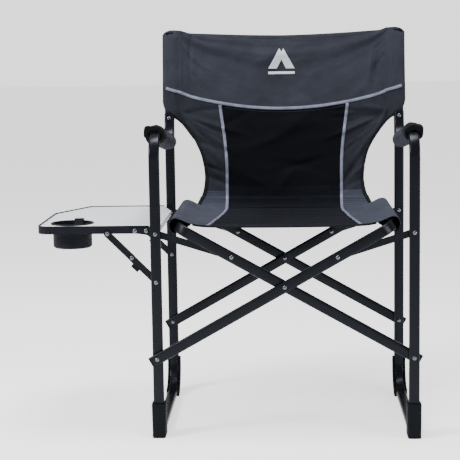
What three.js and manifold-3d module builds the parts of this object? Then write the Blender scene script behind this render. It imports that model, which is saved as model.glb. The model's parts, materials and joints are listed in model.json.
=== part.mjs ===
// Folding director chair with a fold-down side table, in millimetres.
// +Z is up, the chair faces -Y, and +X is to the right as one stands in front of it.
// Pieces are placed from the floor, midway between the side frames, level with the front legs.
import * as THREE from "three";
import { mergeVertices } from "three/addons/utils/BufferGeometryUtils.js";
import Module from "manifold-3d";

const wasm = await Module();
wasm.setup();

// ---- Driving dimensions ----
const GAP = 0.3; // air between neighbouring pieces
const DEGREE = Math.PI / 180;
const TUBE_WIDTH = 23; // flat-oval steel tube, wide side
const TUBE_THICKNESS = 12;
const TUBE_WALL = 1.2;
const LAYER = TUBE_THICKNESS + GAP; // step in Y from one tube to the next
const HALF_SPACING = 275; // chair centre to a side frame
const DEPTH = 411; // front leg to rear leg
const LOW_PIVOT_Z = 174; // foot pivot of a crossed frame
const CROSS_Z = 329; // where the crossed frames are riveted
const STAY_PIVOT_Z = 444; // stay and table pivot on a leg
const FOLD_ANGLE = 48 * DEGREE; // how far a crossed frame turns to fold the chair
const ARM_FRONT_Z = 659;
const ARM_REAR_Z = 612;
const ARM_END_Z = 681; // top of the arm tube's turned-up end
const BACK_RIVET_Z = 669;
const RECLINE = 10 * DEGREE;
const RECLINE_Z = 605; // where the rear upright starts to lean back
const POST_TOP_Z = 872;
const RUNNER_Z = 11;
const ARM_BEND = 50; // centreline radii of the tubes' bends
const RECLINE_BEND = 180;
const HEEL_BEND = 62;
const RAIL_BEND = 30;
const RAIL_REACH = 264; // cross rivet to seat rail, along the tube
const TUBE_TAIL = 13; // tube beyond its foot pivot
const RIVET_RADIUS = 2.7;
const HEAD_RADIUS = 4.8;
const HEAD_HEIGHT = 2;
const PLATE = 2; // thickness of brackets and table braces
const STAY_WIDTH = 15;
const STAY_THICKNESS = 2.5;
const BRACE_WIDTH = 14.5;
const BRACE_RADIUS = 104.5; // table pivot to either outer brace pivot
const TABLE_TOP_Z = 461;
const TABLE_RIM = 17;
const TABLE_REACH = 258; // table pivot to the table's outer edge
const TABLE_INNER = 9; // table panel past its pivot, towards the seat
const TABLE_CORNER = 28; // radius of the front outer corner
const PANEL_DROP = 2; // table panel below the rim's top edge
const CUP_OUT = 190; // table pivot to the cup holder's axis
const CUP_Y = 84;
const CUP_RADIUS = 42.5;
const CUP_DEPTH = 52;
const CLIP_WIDTH = 20; // spring clip inside the cup holder
const BACK_HALF_WIDTH = 292;
const BACK_WAIST = 188;
const BACK_TOP_Z = 878;
const BACK_HEM_Z = 466;
const SLEEVE_BOTTOM_Z = 702;
const CLOTH = 3;
const SEAT_FRONT = 22;
const SEAT_REAR = 368;
const SEAT_RAIL_Z = 475; // top of the seat fabric over a rail
const SEAT_CENTRE_Z = 457;

// ---- Dimensions that follow ----
const crossAngle = Math.atan2(CROSS_Z - LOW_PIVOT_Z, HALF_SPACING);
const lowerReach = Math.hypot(HALF_SPACING, CROSS_Z - LOW_PIVOT_Z);
const stayRise = STAY_PIVOT_Z - LOW_PIVOT_Z;
const foldSines = Math.sin(crossAngle) + Math.sin(crossAngle + FOLD_ANGLE);
// The stay is as long when the chair is folded as when it is open.
const stayReach = (lowerReach * stayRise) / (2 * lowerReach * foldSines - stayRise);
const stayEnd = new THREE.Vector2(
  stayReach * Math.cos(crossAngle),
  CROSS_Z + stayReach * Math.sin(crossAngle),
);
const railX = RAIL_REACH * Math.cos(crossAngle);
const halfBrace = BRACE_RADIUS * Math.SQRT1_2;

// ---- Materials ----
const finish = (color, roughness, metalness) =>
  new THREE.MeshStandardMaterial({ color, roughness, metalness });
const frameSteel = finish(0x23262e, 0.42, 0.6);
const rivetSteel = finish(0xb9bcc2, 0.3, 0.9);
const blackPlastic = finish(0x1c1d20, 0.6, 0);
const foam = finish(0x2b2c31, 0.9, 0);
const seatCloth = finish(0x3b3e4b, 0.95, 0);
const tableBoard = finish(0xcdd0da, 0.5, 0);

// ---- Solids ----
function solidOf(geometry) {
  const bare = new THREE.BufferGeometry();
  bare.setAttribute("position", geometry.getAttribute("position"));
  if (geometry.index) bare.setIndex(geometry.index);
  const merged = mergeVertices(bare, 1e-4);
  return new wasm.Manifold(
    new wasm.Mesh({
      numProp: 3,
      vertProperties: merged.attributes.position.array,
      triVerts: new Uint32Array(merged.index.array),
    }),
  );
}

function geometryOf(solid) {
  const mesh = solid.getMesh();
  const geometry = new THREE.BufferGeometry();
  geometry.setAttribute("position", new THREE.BufferAttribute(mesh.vertProperties, mesh.numProp));
  geometry.setIndex(new THREE.BufferAttribute(mesh.triVerts, 1));
  return geometry;
}

function cut(geometry, ...tools) {
  const rest = tools.reduce((body, tool) => body.subtract(solidOf(tool)), solidOf(geometry));
  return geometryOf(rest);
}

function join(geometry, ...others) {
  const whole = others.reduce((body, other) => body.add(solidOf(other)), solidOf(geometry));
  return geometryOf(whole);
}

// A block from its lowest to its highest corner.
function block(low, high) {
  const geometry = new THREE.BoxGeometry(high[0] - low[0], high[1] - low[1], high[2] - low[2]);
  return geometry.translate((low[0] + high[0]) / 2, (low[1] + high[1]) / 2, (low[2] + high[2]) / 2);
}

// A round bar along Y, for pin holes.
function crossBar(x, y, z, radius, length) {
  return new THREE.CylinderGeometry(radius, radius, length, 10).translate(x, y, z);
}

// ---- Bent tubes ----
// The outline of an oblong section with round corners as [across, through] pairs.
function oblong(width, thickness, radius = thickness / 2 - 2, steps = 3) {
  const reach = [width / 2 - radius, thickness / 2 - radius];
  const outline = [];
  for (const side of [1, -1]) {
    for (const [corner, start] of [[-1, -Math.PI / 2], [1, 0]]) {
      for (let i = 0; i <= steps; i++) {
        const turn = start + (Math.PI / 2) * (i / steps);
        const through = corner * reach[1] + radius * Math.sin(turn);
        outline.push([side * (reach[0] + radius * Math.cos(turn)), side * through]);
      }
    }
  }
  return outline;
}

// A planar path through corners, with each inner corner rounded to a radius.
function roundedPath(corners, radii) {
  const path = [corners[0]];
  for (let i = 1; i < corners.length - 1; i++) {
    const corner = corners[i];
    const before = corners[i - 1].clone().sub(corner).normalize();
    const after = corners[i + 1].clone().sub(corner).normalize();
    const inside = Math.acos(THREE.MathUtils.clamp(before.dot(after), -1, 1));
    const turn = Math.PI - inside;
    const bisector = before.clone().add(after).normalize();
    const centre = corner.clone().addScaledVector(bisector, radii[i - 1] / Math.sin(inside / 2));
    const start = corner.clone().addScaledVector(before, radii[i - 1] / Math.tan(inside / 2)).sub(centre);
    const sense = Math.sign(after.cross(before));
    const steps = Math.max(1, Math.ceil(turn / (16 * DEGREE)));
    for (let k = 0; k <= steps; k++) {
      path.push(start.clone().rotateAround(new THREE.Vector2(), (sense * turn * k) / steps).add(centre));
    }
  }
  path.push(corners.at(-1));
  return path;
}

// The in-plane direction square to the path at each point, long enough to keep the thickness at a bend.
function miters(path) {
  return path.map((point, i) => {
    const back = i > 0 ? point.clone().sub(path[i - 1]).normalize() : null;
    const ahead = i < path.length - 1 ? path[i + 1].clone().sub(point).normalize() : null;
    const along = (back ?? ahead).clone().add(ahead ?? back).normalize();
    const square = new THREE.Vector2(-along.y, along.x);
    return square.divideScalar(along.dot(ahead ?? back));
  });
}

// Sweeps a section along a path in the XY plane, with the section's wide side along Z.
// With an inner outline the result is a tube that is open at both ends.
function sweep(path, outer, inner = null) {
  const offsets = miters(path);
  const positions = [];
  const faces = [];
  const count = outer.length;
  const ring = (outline, i) => {
    const first = positions.length / 3;
    for (const [across, through] of outline) {
      const place = path[i].clone().addScaledVector(offsets[i], through);
      positions.push(place.x, place.y, across);
    }
    return first;
  };
  const wall = (a, b, flip) => {
    for (let k = 0; k < count; k++) {
      const next = (k + 1) % count;
      const quad = flip ? [a + k, a + next, b + next, b + k] : [a + next, a + k, b + k, b + next];
      faces.push(quad[0], quad[1], quad[2], quad[0], quad[2], quad[3]);
    }
  };
  const skins = (inner ? [outer, inner] : [outer]).map((outline) => path.map((_, i) => ring(outline, i)));
  skins.forEach((rings, skin) => rings.slice(1).forEach((first, i) => wall(rings[i], first, skin === 1)));
  if (inner) {
    wall(skins[1][0], skins[0][0], false);
    wall(skins[0].at(-1), skins[1].at(-1), false);
  } else {
    for (let k = 1; k < count - 1; k++) {
      const [start, end] = [skins[0][0], skins[0].at(-1)];
      faces.push(start, start + k, start + k + 1, end, end + k + 1, end + k);
    }
  }
  const geometry = new THREE.BufferGeometry();
  geometry.setAttribute("position", new THREE.Float32BufferAttribute(positions, 3));
  geometry.setIndex(faces);
  return geometry;
}

function steelTube(path) {
  const bore = oblong(TUBE_WIDTH - 2 * TUBE_WALL, TUBE_THICKNESS - 2 * TUBE_WALL);
  return sweep(path, oblong(TUBE_WIDTH, TUBE_THICKNESS), bore);
}

// The space a tube needs inside another piece.
const tubeSpace = (path, gap = GAP) =>
  sweep(path, oblong(TUBE_WIDTH + 2 * gap, TUBE_THICKNESS + 2 * gap));

// Turns a path plane given as (y, z) upright: its X becomes world Y, its Y world Z, its Z world X.
const uprightPlane = new THREE.Matrix4().makeBasis(
  new THREE.Vector3(0, 1, 0),
  new THREE.Vector3(0, 0, 1),
  new THREE.Vector3(1, 0, 0),
);
const upright = (geometry) => geometry.applyMatrix4(uprightPlane);
const point = (a, b) => new THREE.Vector2(a, b);
const pointAlong = (from, to, distance) =>
  from.clone().addScaledVector(to.clone().sub(from).normalize(), distance);

// ---- Rivets ----
// A rivet along +Y that holds layers of the given total thickness, from its first head at y = 0.
function rivetShape(grip, hasTail = true) {
  const dome = (height) => [
    [HEAD_RADIUS, 0.25 * height],
    [0.75 * HEAD_RADIUS, 0.75 * height],
    [0.35 * HEAD_RADIUS, height],
    [0, height],
  ];
  const outline = dome(HEAD_HEIGHT).reverse().map(([r, h]) => point(r, -h));
  outline.push(point(HEAD_RADIUS, 0), point(RIVET_RADIUS, 0), point(RIVET_RADIUS, grip));
  if (hasTail) {
    outline.push(point(HEAD_RADIUS, grip), ...dome(HEAD_HEIGHT).map(([r, h]) => point(r, grip + h)));
  } else {
    outline.push(point(0, grip));
  }
  return new THREE.LatheGeometry(outline, 12);
}

// ---- Scene graph ----
const chair = new THREE.Group();
const leftFrame = new THREE.Group();
const rightFrame = new THREE.Group();
const crossedFrameA = new THREE.Group();
const crossedFrameB = new THREE.Group();
const table = new THREE.Group();
leftFrame.position.set(-HALF_SPACING, LAYER / 2, 0);
rightFrame.position.set(HALF_SPACING, -LAYER / 2, 0);
crossedFrameA.position.set(0, -LAYER / 2, CROSS_Z);
crossedFrameA.rotation.y = -crossAngle;
crossedFrameB.position.set(0, LAYER / 2, CROSS_Z);
crossedFrameB.rotation.y = crossAngle - Math.PI;
table.position.set(-HALF_SPACING, 0, STAY_PIVOT_Z);
chair.add(leftFrame, rightFrame, crossedFrameA, crossedFrameB, table);

function addPiece(parent, name, geometry, material, place = [0, 0, 0]) {
  const mesh = new THREE.Mesh(geometry, material);
  mesh.name = name;
  mesh.position.set(...place);
  parent.add(mesh);
  return mesh;
}

// A rivet at (x, z) through layers from y1 to y2, with air under each head.
// A stub has no tail: it stops level with the last layer. facing -1 puts its head at the back.
function addRivet(name, x, y1, y2, z, { stub = false, facing = 1 } = {}) {
  const grip = y2 - y1 + (stub ? GAP : 2 * GAP);
  const rivet = addPiece(chair, name, rivetShape(grip, !stub), rivetSteel);
  rivet.position.set(x, facing > 0 ? y1 - GAP : y2 + GAP, z);
  if (facing < 0) rivet.rotation.x = Math.PI;
  return rivet;
}

// ---- Side frames ----
const recline = (z) => (z - RECLINE_Z) * Math.tan(RECLINE);
const armRearY = DEPTH - LAYER;
const armTop = point(0, ARM_FRONT_Z);
const armHeel = point(armRearY + recline(ARM_REAR_Z), ARM_REAR_Z);
const armEnd = point(armRearY + recline(ARM_END_Z), ARM_END_Z);
const postStart = point(DEPTH, RECLINE_Z);
const postTop = point(DEPTH + recline(POST_TOP_Z), POST_TOP_Z);
const legFoot = point(0, RUNNER_Z + TUBE_THICKNESS / 2 + GAP);
const runnerStart = point(-TUBE_THICKNESS / 2, RUNNER_Z);
const heel = point(DEPTH, RUNNER_Z);
const rearPath = roundedPath([runnerStart, heel, postStart, postTop], [HEEL_BEND, RECLINE_BEND]);
const frontPath = roundedPath([legFoot, armTop, armHeel, armEnd], [ARM_BEND, ARM_BEND]);

function tiltedPin(length, radius) {
  return new THREE.CylinderGeometry(radius, radius, length, 10)
    .rotateX(-RECLINE)
    .translate(0, DEPTH - LAYER / 2 + recline(BACK_RIVET_Z), BACK_RIVET_Z);
}

function pinHoles(spots) {
  const radius = RIVET_RADIUS + GAP;
  return spots.map(([y, z]) => crossBar(0, y, z, radius, 2 * TUBE_THICKNESS));
}

// Front leg, arm and the turned-up end that is riveted to the rear upright.
function frontTube(extraHoles) {
  const holes = pinHoles([[0, LOW_PIVOT_Z], [0, STAY_PIVOT_Z], ...extraHoles.map((z) => [0, z])]);
  return cut(upright(steelTube(frontPath)), ...holes, tiltedPin(3 * LAYER, RIVET_RADIUS + GAP));
}

// Floor runner, rear leg and back post.
function rearTube(extraHoles) {
  const braceHoles = extraHoles.map((z) => [DEPTH, z]);
  const holes = pinHoles([[DEPTH, LOW_PIVOT_Z], [DEPTH, STAY_PIVOT_Z], ...braceHoles]);
  return cut(upright(steelTube(rearPath)), ...holes, tiltedPin(3 * LAYER, RIVET_RADIUS + GAP));
}

function armPad() {
  const start = pointAlong(armTop, armHeel, ARM_BEND + 4);
  const end = pointAlong(armHeel, armTop, ARM_BEND - 2);
  const shell = sweep([start, end], oblong(34, 33, 15, 4));
  const bore = tubeSpace([pointAlong(start, end, -5), pointAlong(end, start, -5)], 0.5);
  return cut(upright(shell), upright(bore));
}

// A boot that tapers from its top to its sole, over the foot of the front leg and the runner's end.
function frontBoot() {
  const height = 79;
  const top = [15.6, -12, 21];
  const sole = [14.2, -17, 36];
  const corners = (halfWidth, front, back, z) => [
    [-halfWidth, front, z],
    [halfWidth, front, z],
    [halfWidth, back, z],
    [-halfWidth, back, z],
  ];
  const rings = [...corners(...sole, 0), ...corners(...top, height)];
  const geometry = new THREE.BufferGeometry();
  geometry.setAttribute("position", new THREE.Float32BufferAttribute(rings.flat(), 3));
  const sides = [0, 1, 2, 3].flatMap((k) => {
    const next = (k + 1) % 4;
    return [k, next, next + 4, k, next + 4, k + 4];
  });
  geometry.setIndex([...sides, 0, 2, 1, 0, 3, 2, 4, 5, 6, 4, 6, 7]);
  const legSpace = upright(tubeSpace([point(0, RUNNER_Z), point(0, height + 10)]));
  const runnerSpace = upright(tubeSpace([point(-TUBE_THICKNESS / 2 - GAP, RUNNER_Z), point(60, RUNNER_Z)]));
  return cut(geometry, legSpace, runnerSpace);
}

// A channel round the outside of the rear bend, open on the bend's inner side.
function rearBoot() {
  const top = 84;
  const toe = DEPTH - HEEL_BEND - 1;
  const path = roundedPath([point(toe, RUNNER_Z), heel, point(DEPTH, top)], [HEEL_BEND]);
  const outside = -2.5;
  const shift = (outline, by) => outline.map(([across, through]) => [across, through + by]);
  const box = (width, depth) => [
    [width / 2, -depth / 2],
    [width / 2, depth / 2],
    [-width / 2, depth / 2],
    [-width / 2, -depth / 2],
  ];
  const shell = sweep(path, shift(box(31, 17), outside));
  const longer = roundedPath([point(toe - 9, RUNNER_Z), heel, point(DEPTH, top + 9)], [HEEL_BEND]);
  const slot = sweep(longer, shift(box(TUBE_WIDTH + 2 * GAP, 21), 4.2));
  return cut(upright(shell), upright(slot));
}

// A plug in a tube's open end, along +X from the end face at x = 0.
function endPlug() {
  const stem = sweep([point(-8, 0), point(1, 0)], oblong(TUBE_WIDTH - 2 * TUBE_WALL - 2 * GAP, 9));
  const head = sweep([point(GAP, 0), point(3, 0)], oblong(TUBE_WIDTH, TUBE_THICKNESS));
  return join(stem, head);
}

function addSideFrame(frame, side, bracePivots) {
  addPiece(frame, `front_leg_arm_tube_${side}`, frontTube(bracePivots), frameSteel);
  addPiece(frame, `rear_leg_post_tube_${side}`, rearTube(bracePivots), frameSteel);
  addPiece(frame, `arm_pad_${side}`, armPad(), foam);
  addPiece(frame, `front_boot_${side}`, frontBoot(), blackPlastic);
  addPiece(frame, `rear_boot_${side}`, rearBoot(), blackPlastic);
  const plug = addPiece(frame, `post_plug_${side}`, upright(endPlug()), blackPlastic);
  plug.position.set(0, postTop.x, postTop.y);
  plug.rotation.x = Math.PI / 2 - RECLINE;
  const rivet = addPiece(frame, `arm_rivet_${side}`, rivetShape(2 * LAYER + GAP), rivetSteel);
  const middle = DEPTH - LAYER / 2 + recline(BACK_RIVET_Z);
  const halfGrip = LAYER + GAP / 2;
  rivet.rotation.x = -RECLINE;
  rivet.position.set(
    0,
    middle - halfGrip * Math.cos(RECLINE),
    BACK_RIVET_Z + halfGrip * Math.sin(RECLINE),
  );
}

const bracePivotZ = STAY_PIVOT_Z - BRACE_RADIUS;
addSideFrame(leftFrame, "left", [bracePivotZ]);
addSideFrame(rightFrame, "right", []);

// ---- Crossed seat frames ----
// One U-shaped tube: front leg, seat rail and rear leg, with local +X from the cross rivet to the rail.
function seatFrame() {
  const foot = -lowerReach - TUBE_TAIL;
  const corners = [point(foot, 0), point(RAIL_REACH, 0), point(RAIL_REACH, DEPTH), point(foot, DEPTH)];
  const tube = steelTube(roundedPath(corners, [RAIL_BEND, RAIL_BEND]));
  const pins = [-lowerReach, 0, stayReach].flatMap((x) => [0, DEPTH].map((y) => [x, y]));
  return cut(tube, ...pins.map(([x, y]) => crossBar(x, y, 0, RIVET_RADIUS + GAP, 2 * TUBE_THICKNESS)));
}

function addSeatFrame(frame, letter) {
  addPiece(frame, `seat_frame_${letter}`, seatFrame(), frameSteel);
  for (const [where, y] of [["front", 0], ["rear", DEPTH]]) {
    const plug = addPiece(frame, `foot_plug_${letter}_${where}`, endPlug(), blackPlastic);
    plug.position.set(-lowerReach - TUBE_TAIL, y, 0);
    plug.rotation.z = Math.PI;
  }
}
addSeatFrame(crossedFrameA, "a");
addSeatFrame(crossedFrameB, "b");

const tubeFace = LAYER / 2 + TUBE_THICKNESS / 2; // outer face of a pair of neighbouring tubes
const innerFace = GAP / 2;
for (const [where, y] of [["front", 0], ["rear", DEPTH]]) {
  addRivet(`cross_rivet_${where}`, 0, y - tubeFace, y + tubeFace, CROSS_Z);
  for (const [side, sign] of [["left", -1], ["right", 1]]) {
    addRivet(`foot_rivet_${side}_${where}`, sign * HALF_SPACING, y - tubeFace, y + tubeFace, LOW_PIVOT_Z);
  }
}

// ---- Stays ----
// A flat bar with round ends between two pivots at (x, z), lying in XZ, from y = 0 to its thickness.
function flatBar(from, to, width, thickness, holes) {
  const along = to.clone().sub(from);
  const turn = along.angle();
  const shape = new THREE.Shape();
  shape.absarc(along.length(), 0, width / 2, -Math.PI / 2, Math.PI / 2);
  shape.absarc(0, 0, width / 2, Math.PI / 2, (3 * Math.PI) / 2);
  const bar = new THREE.ExtrudeGeometry(shape, { depth: thickness, bevelEnabled: false, curveSegments: 8 });
  bar.rotateZ(turn).translate(from.x, from.y, 0).rotateX(Math.PI / 2).translate(0, thickness, 0);
  const bores = holes.map((spot) => crossBar(spot.x, 0, spot.y, RIVET_RADIUS + GAP, 4 * thickness));
  return cut(bar, ...bores);
}

// The formed tail of the rivet at a stay's outer pivot, on the stay's back.
function stayTail(spot) {
  const tail = rivetShape(HEAD_HEIGHT, false).rotateX(Math.PI);
  return tail.translate(spot.x, STAY_THICKNESS, spot.y);
}

const stayPairs = [
  { side: "left", sign: -1, back: LAYER + innerFace },
  { side: "right", sign: 1, back: innerFace },
];
for (const { side, sign, back } of stayPairs) {
  const pivot = point(sign * HALF_SPACING, STAY_PIVOT_Z);
  const outer = point(sign * stayEnd.x, stayEnd.y);
  for (const [where, y] of [["front", 0], ["rear", DEPTH]]) {
    const bar = flatBar(pivot, outer, STAY_WIDTH, STAY_THICKNESS, [pivot]);
    addPiece(chair, `stay_${side}_${where}`, join(bar, stayTail(outer)), frameSteel, [0, y + back, 0]);
    const tubeFront = y + back - GAP - TUBE_THICKNESS;
    const tubeBack = y + back - GAP;
    addRivet(`stay_end_rivet_${side}_${where}`, outer.x, tubeFront, tubeBack, outer.y, { stub: true });
  }
}

// ---- Side table ----
const frontStayBack = LAYER + innerFace + STAY_THICKNESS;
const frontBracketY = frontStayBack + GAP;
const frontRimY = frontBracketY + PLATE + GAP;
const frontBraceY = LAYER + innerFace; // brace half that is riveted to the leg
const rearLegFace = DEPTH + innerFace;
const rearBraceY = rearLegFace - GAP - PLATE;
const rearUpperY = rearBraceY - GAP - PLATE;
const rearRimY = rearUpperY - GAP;
const rimBottom = TABLE_TOP_Z - TABLE_RIM - STAY_PIVOT_Z; // in the table's frame
const rimTop = TABLE_TOP_Z - STAY_PIVOT_Z;

const rimEndX = -15; // the rim stops short of the pivots

// The table's plan, inset from its edge. The rear outer corner is cut off, the front outer corner is
// round, and a slant at the rear inner corner can keep clear of the leg.
function tablePlan(inset, innerX, slant = [0, 0]) {
  const chamfer = [64, 140];
  const radius = TABLE_CORNER - inset;
  const front = frontRimY + inset;
  const rear = rearRimY - inset;
  const outer = -TABLE_REACH + inset;
  const shape = new THREE.Shape();
  shape.moveTo(innerX, front);
  shape.lineTo(innerX, rear - slant[1]);
  shape.lineTo(innerX - slant[0], rear);
  shape.lineTo(outer + chamfer[0], rear);
  shape.lineTo(outer, rear - chamfer[1]);
  shape.absarc(outer + radius, front + radius, radius, Math.PI, (3 * Math.PI) / 2);
  shape.closePath();
  return shape;
}

function slab(shape, bottom, top, curveSegments = 8) {
  const settings = { depth: top - bottom, bevelEnabled: false, curveSegments };
  const geometry = new THREE.ExtrudeGeometry(shape, settings);
  return geometry.translate(0, 0, bottom);
}

const BRACKET_RIVETS = [-45, -20]; // from the pivot
const rimWall = 3;
const rimLip = 12;
const rimFloor = 3;
const panelInset = rimWall + GAP;
const cupHole = new THREE.CylinderGeometry(CUP_RADIUS + GAP, CUP_RADIUS + GAP, 100, 32)
  .rotateX(Math.PI / 2)
  .translate(-CUP_OUT, CUP_Y, 0);

function tableRim() {
  const outside = slab(tablePlan(0, rimEndX), rimBottom, rimTop);
  const recess = slab(tablePlan(rimWall, rimEndX + 20), rimBottom + rimFloor, rimTop + 10);
  const opening = slab(tablePlan(rimLip, rimEndX + 20), rimBottom - 10, rimTop + 10);
  return cut(outside, recess, opening, cupHole);
}

function tablePanel() {
  const plan = tablePlan(panelInset, TABLE_INNER, [TABLE_INNER - rimEndX, 100]);
  return cut(slab(plan, rimBottom + rimFloor + GAP, rimTop - PANEL_DROP), cupHole);
}

function cupHolder() {
  const wall = 2.2;
  const lip = CUP_RADIUS + 5;
  const drain = 12;
  const outline = [
    [drain, -CUP_DEPTH],
    [CUP_RADIUS - 3, -CUP_DEPTH],
    [CUP_RADIUS, -CUP_DEPTH + 3],
    [CUP_RADIUS, 0],
    [lip, 0],
    [lip - 1, 2],
    [CUP_RADIUS - wall + 1, 2],
    [CUP_RADIUS - wall, 0],
    [CUP_RADIUS - wall, -CUP_DEPTH + 4],
    [drain, -CUP_DEPTH + 3],
    [drain, -CUP_DEPTH],
  ];
  const cup = new THREE.LatheGeometry(outline.map(([r, h]) => point(r, h)), 32).rotateX(Math.PI / 2);
  return join(cup, cupClip(lip));
}

// A sprung tongue that hooks over the rear of the cup's lip and leans in, to steady a can.
function cupClip(lip) {
  const shape = new THREE.Shape();
  shape.moveTo(lip - 1, 1);
  shape.lineTo(lip - 1, 6);
  shape.lineTo(CUP_RADIUS - 8, 6);
  shape.lineTo(CUP_RADIUS - 20, -18);
  shape.lineTo(CUP_RADIUS - 17, -18);
  shape.lineTo(CUP_RADIUS - 4, 1);
  shape.closePath();
  const clip = new THREE.ExtrudeGeometry(shape, { depth: CLIP_WIDTH, bevelEnabled: false });
  return clip.rotateY(Math.PI / 2).rotateX(Math.PI / 2);
}

// A hinge plate on the rim's face, pivoted on the stay rivet, with the heads of the two rivets that
// fix it to the rim. facing is -1 for heads on its front and 1 for heads on its back.
function tableBracket(facing) {
  const shape = new THREE.Shape();
  shape.absarc(0, 0, 8, -Math.PI / 2, 0);
  shape.lineTo(8, 4);
  shape.lineTo(-4, 13);
  shape.lineTo(-56, 13);
  shape.lineTo(-56, 2);
  shape.lineTo(-24, -2);
  shape.closePath();
  const plate = new THREE.ExtrudeGeometry(shape, { depth: PLATE, bevelEnabled: false, curveSegments: 6 });
  plate.rotateX(Math.PI / 2).translate(0, PLATE, 0);
  const heads = BRACKET_RIVETS.map((x) => {
    const head = new THREE.CylinderGeometry(HEAD_RADIUS - 1, HEAD_RADIUS, HEAD_HEIGHT, 12);
    return head.rotateX(facing > 0 ? 0 : Math.PI).translate(x, facing > 0 ? PLATE : 0, 6);
  });
  return cut(join(plate, ...heads), crossBar(0, 0, 0, RIVET_RADIUS + GAP, 4 * PLATE));
}

addPiece(table, "table_panel", tablePanel(), tableBoard);
addPiece(table, "table_rim", tableRim(), blackPlastic);
addPiece(table, "cup_holder", cupHolder(), blackPlastic, [-CUP_OUT, CUP_Y, rimTop - PANEL_DROP + GAP]);
addPiece(table, "table_bracket_front", tableBracket(-1), frameSteel, [0, frontBracketY, 0]);
addPiece(table, "table_bracket_rear", tableBracket(1), frameSteel, [0, rearUpperY, 0]);

// ---- Table braces ----
const legPivot = point(-HALF_SPACING, bracePivotZ);
const kneePivot = point(-halfBrace, halfBrace).multiplyScalar(Math.SQRT1_2).add(legPivot);
const rimPivot = point(-HALF_SPACING - BRACE_RADIUS, STAY_PIVOT_Z);

const CATCH_DEPTH = 3.6;

// The spring catch that locks the knee: it slides along the lower brace's underside.
function kneeCatch() {
  const edge = BRACE_WIDTH / 2;
  return block([-9.5, 0, -edge - 7], [9.5, CATCH_DEPTH, -edge - GAP]);
}

function addBrace(where, lowerY, upperY, headSide) {
  const lower = flatBar(legPivot, kneePivot, BRACE_WIDTH, PLATE, [legPivot, kneePivot]);
  const upper = flatBar(kneePivot, rimPivot, BRACE_WIDTH, PLATE, [kneePivot, rimPivot]);
  addPiece(chair, `brace_lower_${where}`, lower, frameSteel, [0, lowerY, 0]);
  addPiece(chair, `brace_upper_${where}`, upper, frameSteel, [0, upperY, 0]);
  const low = Math.min(lowerY, upperY);
  const high = Math.max(lowerY, upperY) + PLATE;
  addRivet(`brace_knee_rivet_${where}`, kneePivot.x, low, high, kneePivot.y);
  const stub = { stub: true, facing: headSide };
  addRivet(`brace_rim_rivet_${where}`, rimPivot.x, upperY, upperY + PLATE, rimPivot.y, stub);
  const catchSpot = pointAlong(kneePivot, legPivot, 20);
  const slider = addPiece(chair, `brace_catch_${where}`, kneeCatch(), blackPlastic);
  const catchY = where === "front" ? lowerY : lowerY + PLATE - CATCH_DEPTH;
  slider.position.set(catchSpot.x, catchY, catchSpot.y);
  slider.rotation.y = Math.PI / 4;
}
addBrace("front", frontBraceY, frontBraceY + PLATE + GAP, 1);
addBrace("rear", rearBraceY, rearUpperY, -1);

const legBack = LAYER + innerFace - GAP;
addRivet("brace_leg_rivet_front", legPivot.x, innerFace, frontBraceY + PLATE, legPivot.y);
addRivet("brace_leg_rivet_rear", legPivot.x, rearBraceY, DEPTH + legBack, legPivot.y);
addRivet("stay_rivet_left_front", -HALF_SPACING, innerFace, frontBracketY + PLATE, STAY_PIVOT_Z);
addRivet("stay_rivet_left_rear", -HALF_SPACING, rearUpperY, DEPTH + frontStayBack, STAY_PIVOT_Z);
for (const [where, y] of [["front", 0], ["rear", DEPTH]]) {
  const back = y + innerFace + STAY_THICKNESS;
  addRivet(`stay_rivet_right_${where}`, HALF_SPACING, y - tubeFace, back, STAY_PIVOT_Z);
}

// ---- Fabric ----
// Half of the seat sling, from over a rail to the chair's centre line.
function seatHalf(sign) {
  const spine = [
    [railX + 9, SEAT_RAIL_Z - 6],
    [railX - 1, SEAT_RAIL_Z],
    [railX - 40, SEAT_RAIL_Z - 7],
    [railX / 2, SEAT_CENTRE_Z + 3],
    [GAP, SEAT_CENTRE_Z],
  ];
  const shape = new THREE.Shape();
  spine.forEach(([x, z], i) => (i ? shape.lineTo(x, z) : shape.moveTo(x, z)));
  [...spine].reverse().forEach(([x, z]) => shape.lineTo(x, z - CLOTH));
  shape.closePath();
  const half = new THREE.ExtrudeGeometry(shape, { depth: SEAT_REAR - SEAT_FRONT, bevelEnabled: false });
  half.rotateX(Math.PI / 2).translate(0, SEAT_REAR, 0);
  return sign > 0 ? half : half.rotateZ(Math.PI).translate(0, SEAT_FRONT + SEAT_REAR, 0);
}
addPiece(chair, "seat_fabric_left", seatHalf(-1), seatCloth);
addPiece(chair, "seat_fabric_right", seatHalf(1), seatCloth);

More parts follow.
